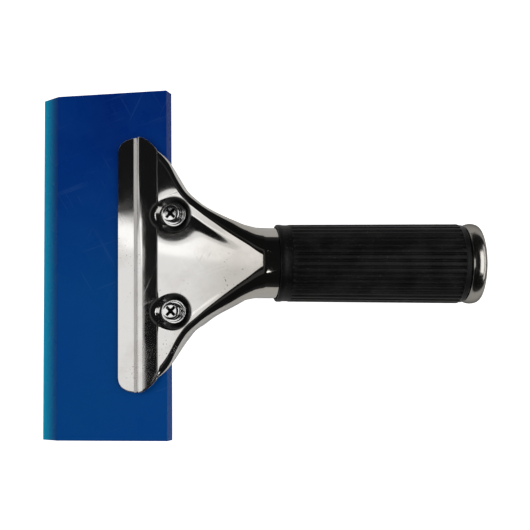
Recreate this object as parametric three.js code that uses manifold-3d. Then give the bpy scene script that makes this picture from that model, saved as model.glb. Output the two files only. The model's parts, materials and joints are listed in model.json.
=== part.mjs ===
// Squeegee applicator: a urethane blade clamped in a stamped steel head, with a rubber-gripped tube handle.
// Millimetres, +Z up, resting on the blade's working edge and on the handle's end ring, handle towards +X.
// The head is drawn in the blade's own frame: x runs from the working edge to the back edge, y along the
// blade, and z = 0 is the blade's upper face. The handle is drawn round its own axis, and both are turned
// together at the end so that the tool stands on the floor.
import * as THREE from 'three';
import { mergeVertices } from 'three/addons/utils/BufferGeometryUtils.js';
import Module from 'manifold-3d';

const wasm = await Module();
wasm.setup();

// Blade
const bladeLength = 127;
const bladeWidth = 50;
const bladeThickness = 6.35;
const bevelWidth = 8;
const edgeLand = 0.25;

// Stamped head: sheet, lip, bead and facet
const sheetThickness = 1.4;
const clampedWidth = 17.9;
const lipStrip = 5.95;
const beadWidth = 9.35;
const beadRise = 2.06;
const facetRise = 1.5;
const facetLength = 39.8;
const jawHalfLength = 46.3;
const lipHalfLength = 40.9;
const shoulderHalf = 41.2;
const seatGap = 0.3;
const skirtSetback = 0.8;

// Handle tube and what it carries
const tubeDiameter = 25.4;
const handleBend = THREE.MathUtils.degToRad(21.1);
const tubeLength = 79.2;
const seamGap = 0.4;
const gripStart = 5.5;
const gripLength = 69.5;
const gripWall = 0.97;
const gripTaper = 0.66;
const collarLength = 4.6;
const rearBand = 2.2;
const ribCount = 36;
const ribDepth = 0.5;
const ringLength = 5.4;
const ringStandOut = 1.8;

// Clamp screws and their hardware
const screwSpacing = 34.8;
const screwSetback = 3.6;
const screwRadius = 1.95;
const screwHeadRadius = 3.1;
const screwHeadHeight = 3;
const recessSize = 3.6;
const recessWidth = 0.95;
const recessDepth = 1.7;
const holeClearance = 0.35;
const flatWasherRadius = 4.4;
const flatWasherThickness = 0.7;
const springWasherRadius = 3.7;
const springWasherThickness = 0.9;
const springWasherSplit = 0.8;
const dimpleFloorRadius = 4.9;
const dimpleSlope = THREE.MathUtils.degToRad(42);
const dimpleDepth = 1.4;
const nutAcrossFlats = 7;
const nutThickness = 3.2;
const jawTravel = 2.5;
const threadBeyondNut = 1;

// Clamp plate: the lower jaw
const plateInset = 1.2;
const plateSideClearance = 0.8;
const tailFlat = 3;
const tailSlope = THREE.MathUtils.degToRad(50);

// Derived places in the blade frame
const tubeRadius = tubeDiameter / 2;
const lipX = bladeWidth - clampedWidth;
const beadStart = lipX + lipStrip;
const facetStart = beadStart + beadWidth;
const apexX = facetStart + facetLength;
const lipTop = seatGap + sheetThickness;
const facetTop = lipTop + facetRise;
const screwX = bladeWidth + screwSetback;
const dimpleFloor = facetTop - dimpleDepth;
const washerBase = dimpleFloor + 0.25;
const springBase = washerBase + flatWasherThickness + 0.25;
const headBase = springBase + springWasherThickness + 0.25;
const plateTop = -bladeThickness - seatGap - facetRise;
const nutTop = plateTop - sheetThickness - seatGap;
const screwEnd = nutTop - nutThickness - jawTravel - threadBeyondNut;
const gripEnd = gripStart + gripLength;
const ringStart = gripEnd + seatGap;

// Finishes
const polishedSteel = { color: 0xc9c7c3, roughness: 0.12, metalness: 1 };
const platedSteel = { color: 0xb5b4b0, roughness: 0.28, metalness: 1 };
const blueUrethane = { color: 0x003a78, roughness: 0.3, metalness: 0 };
const blackRubber = { color: 0x111111, roughness: 0.6, metalness: 0 };

/** Makes a closed geometry into a solid that can be joined and cut. */
function toSolid(geometry) {
  const bare = geometry.clone();
  bare.deleteAttribute('normal');
  bare.deleteAttribute('uv');
  const merged = mergeVertices(bare, 1e-4);
  const vertProperties = new Float32Array(merged.attributes.position.array);
  const triVerts = new Uint32Array(merged.index.array);
  return new wasm.Manifold(new wasm.Mesh({ numProp: 3, vertProperties, triVerts }));
}

/** Gives a solid back as a geometry. */
function toGeometry(solid) {
  const mesh = solid.getMesh();
  const geometry = new THREE.BufferGeometry();
  geometry.setAttribute('position', new THREE.BufferAttribute(mesh.vertProperties, 3));
  geometry.setIndex(new THREE.BufferAttribute(mesh.triVerts, 1));
  geometry.computeVertexNormals();
  return geometry;
}

/** A named mesh with its own material. */
function piece(name, geometry, finish) {
  const mesh = new THREE.Mesh(geometry, new THREE.MeshStandardMaterial(finish));
  mesh.name = name;
  return mesh;
}

/** A closed ring or disc about +Z from a list of [radius, height] points. */
function turned(profile, segments = 32) {
  const points = profile.map(([radius, height]) => new THREE.Vector2(radius, height));
  const lathe = new THREE.LatheGeometry(points, segments);
  lathe.rotateX(Math.PI / 2);
  return lathe;
}

/** A plain washer or drilled disc between two heights. */
function ringProfile(inner, outer, low, high) {
  return [[inner, low], [outer, low], [outer, high], [inner, high], [inner, low]];
}

/** A solid disc about +Z between two heights. */
function discProfile(radius, low, high) {
  return [[0, low], [radius, low], [radius, high], [0, high]];
}

/** A side profile in x and z, extruded along y and centred on y = 0. */
function acrossBlade(points, length) {
  const shape = new THREE.Shape(points.map(([x, z]) => new THREE.Vector2(x, z)));
  const geometry = new THREE.ExtrudeGeometry(shape, { depth: length, bevelEnabled: false });
  geometry.translate(0, 0, -length / 2);
  geometry.rotateX(Math.PI / 2);
  return geometry;
}

/** Smooth value at place x through [place, value] knots, without overshoot between them. */
function through(knots, x) {
  const last = knots.length - 1;
  if (x <= knots[0][0]) return knots[0][1];
  if (x >= knots[last][0]) return knots[last][1];
  const i = knots.findIndex(([place]) => place > x) - 1;
  const slope = (k) => (knots[k + 1][1] - knots[k][1]) / (knots[k + 1][0] - knots[k][0]);
  const tangent = (k) => {
    if (k === 0 || k === last) return k === 0 ? slope(0) : slope(last - 1);
    const product = slope(k - 1) * slope(k);
    return product > 0 ? (2 * product) / (slope(k - 1) + slope(k)) : 0;
  };
  const width = knots[i + 1][0] - knots[i][0];
  const u = (x - knots[i][0]) / width;
  const start = knots[i][1] * (1 + 2 * u) * (1 - u) ** 2 + width * tangent(i) * u * (1 - u) ** 2;
  const end = knots[i + 1][1] * u ** 2 * (3 - 2 * u) - width * tangent(i + 1) * u ** 2 * (1 - u);
  return start + end;
}

// How the head narrows from its shoulders to the tube: share of the facet's length, share of the flare
const flare = [
  [0, 1], [0.118, 0.82], [0.17, 0.68], [0.226, 0.55], [0.271, 0.46], [0.349, 0.36], [0.432, 0.27],
  [0.56, 0.168], [0.686, 0.085], [0.794, 0.03], [0.92, 0],
];
// Width of the folded edge along the facet, as a share of the tube's radius
const foldWidth = [
  [0, 0.3], [0.14, 0.38], [0.226, 0.33], [0.29, 0.29], [0.384, 0.27], [0.52, 0.32], [0.64, 0.4],
  [0.764, 0.49], [0.844, 0.59], [0.92, 0.75], [1, 1],
];
// Drop of the folded edge: over the blade it is a share of the room above it, behind it of the tube's radius
const roomOverBlade = facetTop - seatGap;
const skirtStart = Math.max((bladeWidth + skirtSetback - facetStart) / facetLength, 0.01);
const foldDrop = [
  [0, (0.4 * roomOverBlade) / tubeRadius], [skirtStart, (0.75 * roomOverBlade) / tubeRadius],
  [0.25, 0.26], [0.384, 0.2], [0.64, 0.3], [0.844, 0.6], [0.92, 0.78], [1, 1],
];
// Rounding under the skirts, as a share of the tube's radius
const underRound = [[0.3, 0.3], [0.55, 0.4], [0.77, 0.7], [1, 1]];
// Sheet left for the skirt after the fold, as a share of what would close the underside
const skirtShare = [
  [0, 0], [skirtStart, 0], [0.226, 0.25], [0.3825, 0.42], [0.5825, 0.56], [0.77, 0.76], [1, 1],
];
// How much the skirts draw in under the fold, in width for each unit of drop
const skirtTuck = [[0, 0], [0.05, 0.3], [0.2, 0.3], [0.36, 0.12], [0.6, 0.1], [0.75, 0.15], [0.9, 0.08], [1, 0]];
// The section planes lean from the facet's normal to the tube's
const lean = [[0.7, 0], [1, 1]];

/** Half the head's width at a share of the facet's length. */
function headHalfWidth(share) {
  return tubeRadius + (shoulderHalf - tubeRadius) * through(flare, share);
}

/** Half the width of the facet's flat between its folded edges. */
function flatHalfWidth(share) {
  return headHalfWidth(share) - tubeRadius * through(foldWidth, share);
}

/**
 * The outer path of the folded sheet at one station, from the top centre outwards and down, with the
 * inner path a sheet thickness inside it: a flat, a quarter-ellipse fold, a straight skirt, a
 * quarter-ellipse under it and a flat towards the seam.
 */
function sheetSection(share, depth, steps) {
  const half = headHalfWidth(share);
  const fold = tubeRadius * through(foldWidth, share);
  const drop = tubeRadius * through(foldDrop, share);
  const under = tubeRadius * through(underRound, share);
  const flat = flatHalfWidth(share);
  const quarter = (a, b) => (Math.PI / 4) * (a + b) * (1 + ((a - b) / (a + b)) ** 2 / 4);
  const foldLength = quarter(fold, drop);
  const straight = Math.max(depth - drop - under, 0);
  const underLength = quarter(under, under);
  const whole = straight + underLength + Math.max(half - under, 0);
  const run = Math.min(whole * through(skirtShare, share), whole - seamGap / 2);
  const tuck = through(skirtTuck, share);
  const outer = [];
  for (let i = 0; i <= steps; i += 1) {
    const onFlat = i <= steps / 4;
    const travel = onFlat ? (4 * i * flat) / steps : flat + ((4 * i - steps) * (foldLength + run)) / (3 * steps);
    outer.push(pointOnPath(travel, { flat, fold, drop, foldLength, straight, tuck, under, underLength, half }));
  }
  return outer;
}

/** Place and inward normal after a length of travel round the section. */
function pointOnPath(travel, s) {
  if (travel <= s.flat) return { y: travel, z: 0, ny: 0, nz: -1 };
  const afterFold = travel - s.flat - s.foldLength;
  if (afterFold <= 0) {
    const angle = ((travel - s.flat) / s.foldLength) * (Math.PI / 2);
    const tilt = Math.atan2(s.drop * Math.sin(angle), s.fold * Math.cos(angle));
    const y = s.flat + s.fold * Math.sin(angle);
    return { y, z: -s.drop * (1 - Math.cos(angle)), ny: -Math.sin(tilt), nz: -Math.cos(tilt) };
  }
  if (afterFold <= s.straight) return { y: s.half - s.tuck * afterFold, z: -s.drop - afterFold, ny: -1, nz: 0 };
  const afterStraight = afterFold - s.straight;
  const low = s.drop + s.straight;
  const foot = s.half - s.tuck * s.straight;
  if (afterStraight <= s.underLength) {
    const angle = afterStraight / s.under;
    const y = foot - s.under * (1 - Math.cos(angle));
    return { y, z: -low - s.under * Math.sin(angle), ny: -Math.cos(angle), nz: Math.sin(angle) };
  }
  const y = foot - s.under - (afterStraight - s.underLength);
  return { y, z: -low - s.under, ny: 0, nz: 1 };
}

/** One station of the sheet: both skins as rows of points, from the right edge over the top to the left. */
function station(x, share, turn, steps) {
  const reach = (apexX - Math.min(x, apexX)) * Math.sin(handleBend);
  const depth = (tubeDiameter - reach) / Math.cos(handleBend - turn);
  const beyond = Math.max(x - apexX, 0);
  const originX = Math.min(x, apexX) + beyond * Math.cos(handleBend);
  const originZ = facetTop - beyond * Math.sin(handleBend);
  const path = sheetSection(share, depth, steps);
  const place = (y, z) => new THREE.Vector3(originX + z * Math.sin(turn), y, originZ + z * Math.cos(turn));
  const half = (side) => path.map((p) => ({
    outer: place(side * p.y, p.z),
    inner: place(side * (p.y + p.ny * sheetThickness), p.z + p.nz * sheetThickness),
  }));
  return [...half(-1).reverse(), ...half(1).slice(1)];
}

/** A closed sheet-metal solid through a list of stations: two skins and the four rims between them. */
function sheetSolid(stations) {
  const rows = stations.length;
  const columns = stations[0].length;
  const vertices = [];
  stations.forEach((row) => row.forEach((p) => vertices.push(...p.outer, ...p.inner)));
  const outer = (i, j) => 2 * (i * columns + j);
  const inner = (i, j) => outer(i, j) + 1;
  const faces = [];
  const quad = (a, b, c, d) => faces.push(a, b, c, a, c, d);
  for (let i = 0; i < rows - 1; i += 1) {
    for (let j = 0; j < columns - 1; j += 1) {
      quad(outer(i, j), outer(i + 1, j), outer(i + 1, j + 1), outer(i, j + 1));
      quad(inner(i, j), inner(i, j + 1), inner(i + 1, j + 1), inner(i + 1, j));
    }
    quad(outer(i, 0), inner(i, 0), inner(i + 1, 0), outer(i + 1, 0));
    const j = columns - 1;
    quad(outer(i, j), outer(i + 1, j), inner(i + 1, j), inner(i, j));
  }
  for (let j = 0; j < columns - 1; j += 1) {
    quad(outer(0, j), outer(0, j + 1), inner(0, j + 1), inner(0, j));
    const i = rows - 1;
    quad(outer(i, j), inner(i, j), inner(i, j + 1), outer(i, j + 1));
  }
  const geometry = new THREE.BufferGeometry();
  geometry.setAttribute('position', new THREE.Float32BufferAttribute(vertices.flatMap((v) => v), 3));
  geometry.setIndex(faces);
  return toSolid(geometry);
}

/** The folded sheet from the facet's front through the neck to the open end of the tube. */
function neckAndTube() {
  const steps = 20;
  const shares = [-0.01, 0.04, skirtStart, 0.13, 0.18, 0.226, 0.27, 0.34, 0.43, 0.56, 0.67, 0.77, 0.85, 0.92, 1];
  const flared = shares.map((share) => {
    const turn = handleBend * through(lean, share);
    return station(facetStart + share * facetLength, Math.max(share, 0), turn, steps);
  });
  const round = [gripStart, gripEnd, tubeLength].map((s) => station(apexX + s, 1, handleBend, steps));
  return sheetSolid([...flared, ...round]);
}

// The bead's section: height as a share of its rise, at shares of its width; and places to sample between
const beadShape = [
  [0, 0], [0.187, 0.534], [0.227, 0.825], [0.278, 0.942], [0.358, 1], [0.449, 0.97], [1, facetRise / beadRise],
];
const beadFill = [0.6, 0.75, 0.88];

/** Points of the jaw's upper skin from the lip to the facet: flat lip, a low ridge, rounded bead, flat facet. */
function jawSkin(offset) {
  const places = [...beadShape.map(([u]) => u), ...beadFill].sort((a, b) => a - b);
  const bead = places.map((u) => [beadStart + beadWidth * u, lipTop + beadRise * through(beadShape, u)]);
  const top = [[lipX, lipTop], ...bead, [facetStart + 0.8, facetTop]];
  return top.map(([x, z]) => [x, z - offset]);
}

/** The plan outline of a jaw: straight lip, rounded corners, and sides of a given half-width back to backX. */
function jawOutline(inset, backX, halfWidth) {
  const outline = new THREE.Shape();
  const front = lipX + inset;
  const peak = jawHalfLength - inset;
  const peakX = lipX + 7.7;
  const side = [];
  const steps = 12;
  for (let i = 0; i <= steps; i += 1) {
    const x = facetStart + (backX - facetStart) * (i / steps);
    side.push([x, halfWidth((x - facetStart) / facetLength)]);
  }
  outline.moveTo(front, -lipHalfLength + inset);
  outline.lineTo(front, lipHalfLength - inset);
  outline.quadraticCurveTo(front, peak, peakX, peak);
  outline.quadraticCurveTo(peakX + 3.5, peak, side[0][0], side[0][1]);
  side.forEach(([x, y]) => outline.lineTo(x, y));
  [...side].reverse().forEach(([x, y]) => outline.lineTo(x, -y));
  outline.quadraticCurveTo(peakX + 3.5, -peak, peakX, -peak);
  outline.quadraticCurveTo(front, -peak, front, -lipHalfLength + inset);
  const tall = 4 * bladeThickness;
  const geometry = new THREE.ExtrudeGeometry(outline, { depth: 2 * tall, bevelEnabled: false, curveSegments: 6 });
  geometry.translate(0, 0, -tall);
  return toSolid(geometry);
}

/** The pressed seat under a screw: a dish of sheet, its hollow and its screw hole, about the screw axis. */
function dimple(side) {
  const wallRun = (height) => height / Math.tan(dimpleSlope);
  const high = facetTop + beadRise;
  const topRadius = dimpleFloorRadius + wallRun(high - dimpleFloor);
  const rimRadius = dimpleFloorRadius + wallRun(dimpleDepth);
  const floorUnder = dimpleFloor - sheetThickness;
  const dish = turned([
    [0, floorUnder], [dimpleFloorRadius, floorUnder], [rimRadius, facetTop - sheetThickness],
    [rimRadius, facetTop - 0.2], [0, facetTop - 0.2],
  ]);
  const hollow = turned([[0, dimpleFloor], [dimpleFloorRadius, dimpleFloor], [topRadius, high], [0, high]]);
  const hole = turned(discProfile(screwRadius + holeClearance, floorUnder - 1, high));
  const place = (geometry) => toSolid(geometry.translate(screwX, side * screwSpacing / 2, 0));
  return { dish: place(dish), cut: place(hollow).add(place(hole)) };
}

/** The whole stamped head: upper jaw, facet, skirts, neck and tube in one piece of sheet. */
function head() {
  const profile = [...jawSkin(0), ...jawSkin(sheetThickness).reverse()];
  const outline = jawOutline(0, facetStart + 1, headHalfWidth);
  const jaw = toSolid(acrossBlade(profile, 2 * jawHalfLength + 2)).intersect(outline);
  const seats = [-1, 1].map(dimple);
  let body = jaw.add(neckAndTube());
  seats.forEach((seat) => { body = body.add(seat.dish); });
  seats.forEach((seat) => { body = body.subtract(seat.cut); });
  return piece('head', toGeometry(body), polishedSteel);
}

/** The blade: a flat bar with one long bevel that leaves a narrow working edge. */
function blade() {
  const profile = [
    [0, -bladeThickness], [bladeWidth, -bladeThickness], [bladeWidth, 0], [bevelWidth, 0],
    [0, edgeLand - bladeThickness],
  ];
  return piece('blade', acrossBlade(profile, bladeLength), blueUrethane);
}

/** The lower jaw: lip and bead like the upper one, a flat for the nuts and a raised tail behind. */
function clampPlate() {
  const mirror = ([x, z]) => [x, -bladeThickness - z];
  const flatEnd = screwX + nutAcrossFlats;
  const tailTop = facetTop - sheetThickness - seatGap;
  const tailRun = (tailTop - plateTop) / Math.tan(tailSlope);
  const tailEnd = flatEnd + tailRun + tailFlat;
  const shift = sheetThickness * Math.tan(tailSlope / 2);
  const upper = jawSkin(sheetThickness).map(mirror);
  const lower = jawSkin(0).map(mirror);
  const profile = [
    ...upper, [flatEnd, plateTop], [flatEnd + tailRun, tailTop], [tailEnd, tailTop],
    [tailEnd, tailTop - sheetThickness], [flatEnd + tailRun + shift, tailTop - sheetThickness],
    [flatEnd + shift, plateTop - sheetThickness], ...lower.reverse(),
  ];
  const outline = jawOutline(plateInset, tailEnd + 1, (share) => flatHalfWidth(share) - plateSideClearance);
  let plate = toSolid(acrossBlade(profile, 2 * jawHalfLength)).intersect(outline);
  [-1, 1].forEach((side) => {
    const hole = turned(discProfile(screwRadius + holeClearance, plateTop - 4, plateTop + 4));
    plate = plate.subtract(toSolid(hole.translate(screwX, side * screwSpacing / 2, 0)));
  });
  return piece('clamp_plate', toGeometry(plate), polishedSteel);
}

/** A fillister-head clamp screw with a cross recess, about its own axis. */
function screw() {
  const top = headBase + screwHeadHeight;
  const domed = [
    [0, screwEnd], [screwRadius - 0.5, screwEnd], [screwRadius, screwEnd + 0.5], [screwRadius, headBase],
    [screwHeadRadius, headBase], [screwHeadRadius, top - 0.7], [screwHeadRadius - 0.5, top - 0.15], [0, top],
  ];
  const slot = (turn) => {
    const bar = new THREE.BoxGeometry(recessSize, recessWidth, 2 * recessDepth);
    return toSolid(bar.rotateZ(turn).translate(0, 0, top));
  };
  const cross = slot(Math.PI / 4).add(slot(-Math.PI / 4));
  return toGeometry(toSolid(turned(domed, 28)).subtract(cross));
}

/** A split lock washer about its own axis. */
function springWasher() {
  const ring = turned(ringProfile(screwRadius + 0.2, springWasherRadius, springBase, springBase + springWasherThickness));
  const split = new THREE.BoxGeometry(2 * springWasherRadius, springWasherSplit, 4);
  split.translate(springWasherRadius + 1, 0, springBase);
  return toGeometry(toSolid(ring).subtract(toSolid(split)));
}

/** A flat washer about its own axis. */
function flatWasher() {
  return turned(ringProfile(screwRadius + 0.3, flatWasherRadius, washerBase, washerBase + flatWasherThickness));
}

/** A hexagon nut about its own axis. */
function nut() {
  const corner = nutAcrossFlats / Math.sqrt(3);
  const hexagon = turned(discProfile(corner, nutTop - nutThickness, nutTop), 6);
  const bore = turned(discProfile(screwRadius + 0.25, nutTop - nutThickness - 1, nutTop + 1));
  return toGeometry(toSolid(hexagon).subtract(toSolid(bore)));
}

/** Both screws with their washers and nuts, one set at each end of the jaw. */
function fasteners() {
  const group = new THREE.Group();
  [['left', 1], ['right', -1]].forEach(([hand, side]) => {
    const set = new THREE.Group();
    set.add(piece(`screw_${hand}`, screw(), platedSteel));
    set.add(piece(`spring_washer_${hand}`, springWasher(), platedSteel));
    set.add(piece(`flat_washer_${hand}`, flatWasher(), platedSteel));
    set.add(piece(`nut_${hand}`, nut(), platedSteel));
    set.position.set(screwX, side * screwSpacing / 2, 0);
    group.add(set);
  });
  return group;
}

/** The rubber sleeve round +Z: a smooth lipped collar, long ribs on a slight taper and a smooth rear band. */
function grip() {
  const inner = tubeRadius + seatGap;
  const front = inner + gripWall;
  const rear = front + gripTaper;
  const ribFront = gripStart + collarLength;
  const ribRear = gripEnd - rearBand;
  const profile = [
    [inner, gripStart], [front - 0.2, gripStart], [front, gripStart + 0.4], [front, gripStart + 1.6],
    [front - 0.3, gripStart + 2.2], [front - 0.3, ribFront - 0.1], [front, ribFront], [rear, ribRear],
    [rear - 0.3, ribRear + 0.1], [rear - 0.3, gripEnd - 0.4], [rear - 0.6, gripEnd], [inner, gripEnd], [inner, gripStart],
  ];
  const sleeve = turned(profile, 4 * ribCount);
  const place = sleeve.attributes.position;
  for (let i = 0; i < place.count; i += 1) {
    const radius = Math.hypot(place.getX(i), place.getY(i));
    const along = place.getZ(i);
    const ribbed = along > ribFront - 0.05 && along < ribRear + 0.05 && radius > inner + 0.1;
    const turn = Math.atan2(place.getY(i), place.getX(i)) / (2 * Math.PI);
    const column = Math.round((turn + 1) * 4 * ribCount) % 4;
    if (ribbed && column === 0) {
      const scale = (radius - ribDepth) / radius;
      place.setXY(i, place.getX(i) * scale, place.getY(i) * scale);
    }
  }
  sleeve.computeVertexNormals();
  return piece('grip', sleeve, blackRubber);
}

/** The polished bead ring that closes the handle behind the grip, round +Z. */
function endRing() {
  const inner = tubeRadius + seatGap;
  const outer = tubeRadius + ringStandOut + seatGap;
  const end = ringStart + ringLength;
  const bulge = ringLength / 2;
  const bead = [];
  for (let i = 0; i <= 8; i += 1) {
    const angle = (Math.PI * i) / 8;
    bead.push([inner + 0.5 + (outer - inner - 0.5) * Math.sin(angle), ringStart + bulge * (1 - Math.cos(angle))]);
  }
  const profile = [[inner, ringStart], ...bead, [inner, end], [inner, ringStart]];
  return piece('end_ring', turned(profile, 48), polishedSteel);
}

/** The handle's sleeve and ring, turned from their own axis onto the tube's. */
function handle() {
  const group = new THREE.Group();
  group.add(grip(), endRing());
  group.rotation.y = Math.PI / 2 + handleBend;
  group.position.set(
    apexX - tubeRadius * Math.sin(handleBend), 0, facetTop - tubeRadius * Math.cos(handleBend),
  );
  return group;
}

/** How far the blade leans from the floor when its edge and the ring's rim both touch. */
function restingTilt() {
  const rim = tubeRadius + ringStandOut + seatGap;
  const beadCentre = ringStart + ringLength / 2;
  const x = apexX - (tubeRadius + rim) * Math.sin(handleBend) + beadCentre * Math.cos(handleBend);
  const z = facetTop - (tubeRadius + rim) * Math.cos(handleBend) - beadCentre * Math.sin(handleBend);
  return Math.atan2(-(z + bladeThickness), x);
}

const tool = new THREE.Group();
tool.add(blade(), head(), clampPlate(), fasteners(), handle());
tool.rotation.y = -restingTilt();

const group = new THREE.Group();
group.add(tool);
group.updateMatrixWorld(true);
const extent = new THREE.Box3().setFromObject(group, true);
tool.position.set(-(extent.min.x + extent.max.x) / 2, 0, -extent.min.z);

export default group;
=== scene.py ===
import json

import bpy
import numpy as np
from mathutils import Matrix, Vector


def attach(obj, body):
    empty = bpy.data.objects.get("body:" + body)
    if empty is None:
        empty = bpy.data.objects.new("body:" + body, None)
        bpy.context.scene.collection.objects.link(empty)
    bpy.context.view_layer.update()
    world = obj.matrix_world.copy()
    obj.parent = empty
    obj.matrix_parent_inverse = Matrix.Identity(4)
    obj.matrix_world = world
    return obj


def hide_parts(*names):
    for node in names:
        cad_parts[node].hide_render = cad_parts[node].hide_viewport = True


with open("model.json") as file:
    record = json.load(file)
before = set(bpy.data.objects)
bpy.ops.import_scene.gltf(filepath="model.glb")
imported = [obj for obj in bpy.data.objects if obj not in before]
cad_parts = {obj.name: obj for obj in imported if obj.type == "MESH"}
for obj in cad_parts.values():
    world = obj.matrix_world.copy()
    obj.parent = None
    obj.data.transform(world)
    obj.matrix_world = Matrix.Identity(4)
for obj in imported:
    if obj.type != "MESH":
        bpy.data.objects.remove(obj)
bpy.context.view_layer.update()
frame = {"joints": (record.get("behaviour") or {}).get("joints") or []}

# The tool is worked out in millimetres in the blade's own frame: x runs from the working edge to the back
# edge, y along the blade, and z = 0 is the blade's upper face. place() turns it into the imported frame.
MM = 0.001

# Blade
BLADE_LENGTH = 127.0
BLADE_WIDTH = 50.0
BLADE_THICKNESS = 6.35
BEVEL_WIDTH = 8.0
EDGE_LAND = 0.25

# Stamped head
SHEET = 1.4
LIP_X = 32.1
BEAD_START = 38.05
BEAD_WIDTH = 9.35
FACET_START = BEAD_START + BEAD_WIDTH
FACET_LENGTH = 39.8
APEX_X = FACET_START + FACET_LENGTH
SEAT_GAP = 0.3
LIP_TOP = SEAT_GAP + SHEET
FACET_RISE = 1.5
FACET_TOP = LIP_TOP + FACET_RISE
JAW_HALF = 46.3
LIP_HALF = 40.9
SHOULDER_HALF = 41.2
SKIRT_SETBACK = 0.8
EDGE_ROUND = 0.45
FOLD_LEAD = 0.6
JAW_SKIRT = 0.7
LEAST_SKIRT = 0.25
JAW_PEAK_X = LIP_X + 7.7

# Handle
TUBE_RADIUS = 12.7
BEND = np.radians(21.1)
TUBE_LENGTH = 79.2
SEAM_GAP = 0.4
BEND_ROUND = 0.2
GRIP_START = 5.5
GRIP_END = 75.0
GRIP_INNER = TUBE_RADIUS + 0.3
GRIP_FRONT = GRIP_INNER + 0.97
GRIP_REAR = GRIP_FRONT + 0.66
COLLAR_LENGTH = 4.6
REAR_BAND = 2.2
RIB_COUNT = 36
RIB_DEPTH = 0.55
RIB_CROWN = 0.07
RING_START = GRIP_END + 0.3
RING_LENGTH = 5.4
RING_OUTER = TUBE_RADIUS + 2.08

# Screws and their hardware
SCREW_X = 53.6
SCREW_Y = 17.4
SCREW_RADIUS = 1.95
HEAD_RADIUS = 3.1
HEAD_HEIGHT = 3.0
HEAD_DOME = 0.05
THREAD_PITCH = 0.7
THREAD_DEPTH = 0.36
HOLE_RADIUS = SCREW_RADIUS + 0.35
HOLE_REACH = 3.0
DIMPLE_FLOOR = FACET_TOP - 1.4
DIMPLE_FLOOR_RADIUS = 4.6
DIMPLE_SLOPE = np.radians(42)
DIMPLE_REACH = 9.5
DIMPLE_FLOOR_ROUND = 0.35
DIMPLE_RIM_ROUND = 0.55
DIMPLE_FRONT_SHIFT = 0.9
DIMPLE_FRONT_EASE = 0.34
SEATS_END = 61.5
PRESSED_END = 81
DISH_DEPTH = 0.12
DISH_RADIUS = 5
DISH_REACH = 4.2
VALLEY_DEPTH = 0.14
VALLEY_WIDTH = 2.2
VALLEY_INSET = 4.0
VALLEY_SLANT = 0.09
VALLEY_STARTS = (55, 60)
VALLEY_FADES = (82, 59)
WASHER_BASE = DIMPLE_FLOOR + 0.25
WASHER_THICKNESS = 0.7
WASHER_RADIUS = 4.3
SPRING_BASE = WASHER_BASE + WASHER_THICKNESS + 0.25
SPRING_THICKNESS = 0.9
SPRING_RADIUS = 3.7
SPRING_LIFT = 0.12
HEAD_BASE = SPRING_BASE + SPRING_THICKNESS + 0.25

# Clamp plate and nuts
PLATE_TOP = -BLADE_THICKNESS - SEAT_GAP - FACET_RISE
PLATE_INSET = 1.2
PLATE_SIDE = 0.8
TAIL_FLAT = 3.0
TAIL_SLOPE = np.radians(50)
TAIL_BEND_ROUND = 1.2
TAIL_BEND_REACH = 1.5
NUT_FLATS = 7.0
NUT_THICKNESS = 3.2
NUT_TOP = PLATE_TOP - SHEET - SEAT_GAP
SCREW_END = NUT_TOP - NUT_THICKNESS - 3.5

# Places of the blade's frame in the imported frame, from the left screw's axis
SCREW_JOINT = next(joint for joint in frame["joints"] if joint["name"] == "screw_left_turn")
UP = np.array(SCREW_JOINT["axis"], float)
ALONG = np.array([UP[2], 0.0, -UP[0]])
ACROSS = np.array([0.0, 1.0, 0.0])
ORIGIN = (
    np.array(SCREW_JOINT["pos_m"], float)
    - MM * (SCREW_X * ALONG + SCREW_Y * ACROSS + LIP_TOP * UP)
)


def place(points):
    """Blade-frame points in mm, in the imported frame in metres: origin + x along + y across + z up."""
    points = np.asarray(points, float)
    turned = points[..., :1] * ALONG + points[..., 1:2] * ACROSS + points[..., 2:3] * UP
    return ORIGIN + MM * turned


def about_handle(length, radius, angle):
    """Blade-frame points round the handle's axis: length from the neck, radius, and angle from the top."""
    length, radius, angle = np.broadcast_arrays(length, radius, angle)
    rise = radius * np.cos(angle) - TUBE_RADIUS
    x = APEX_X + length * np.cos(BEND) + rise * np.sin(BEND)
    z = FACET_TOP - length * np.sin(BEND) + rise * np.cos(BEND)
    return np.stack([x, radius * np.sin(angle), z], axis=-1)


def about_screw(side, radius, angle, height):
    """Blade-frame points round a screw's axis: x and y are radius times cosine and sine of the angle."""
    radius, angle, height = np.broadcast_arrays(radius, angle, height)
    x = SCREW_X + radius * np.cos(angle)
    y = side * SCREW_Y + radius * np.sin(angle)
    return np.stack([x, y, height], axis=-1)


def whole_turn(count):
    """Evenly spaced angles of one turn, from zero and without the last, which is the first again."""
    return np.linspace(0, 2 * np.pi, count, endpoint=False)


def through(knots, x):
    """Smooth value at x: cubic pieces between [place, value] knots, with harmonic-mean slopes at knots."""
    spot, value = np.array(knots, float).T
    slope = np.diff(value) / np.diff(spot)
    product = slope[:-1] * slope[1:]
    total = np.where(product > 0, slope[:-1] + slope[1:], 1.0)
    inner = np.where(product > 0, 2 * product / total, 0.0)
    tangent = np.concatenate([slope[:1], inner, slope[-1:]])
    x = np.clip(x, spot[0], spot[-1])
    i = np.clip(np.searchsorted(spot, x, side="right") - 1, 0, len(slope) - 1)
    width = spot[i + 1] - spot[i]
    u = (x - spot[i]) / width
    start = value[i] * (1 + 2 * u) * (1 - u) ** 2 + width * tangent[i] * u * (1 - u) ** 2
    end = value[i + 1] * u**2 * (3 - 2 * u) - width * tangent[i + 1] * u**2 * (1 - u)
    return start + end


def eased(knots, x, reach):
    """The value through the knots, averaged over a short reach on both sides with triangular weights."""
    offsets = np.linspace(-1, 1, 9)[1:-1]
    weights = 1 - np.abs(offsets)
    values = [weight * through(knots, x + offset * reach) for offset, weight in zip(offsets, weights)]
    return sum(values) / weights.sum()


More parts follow.
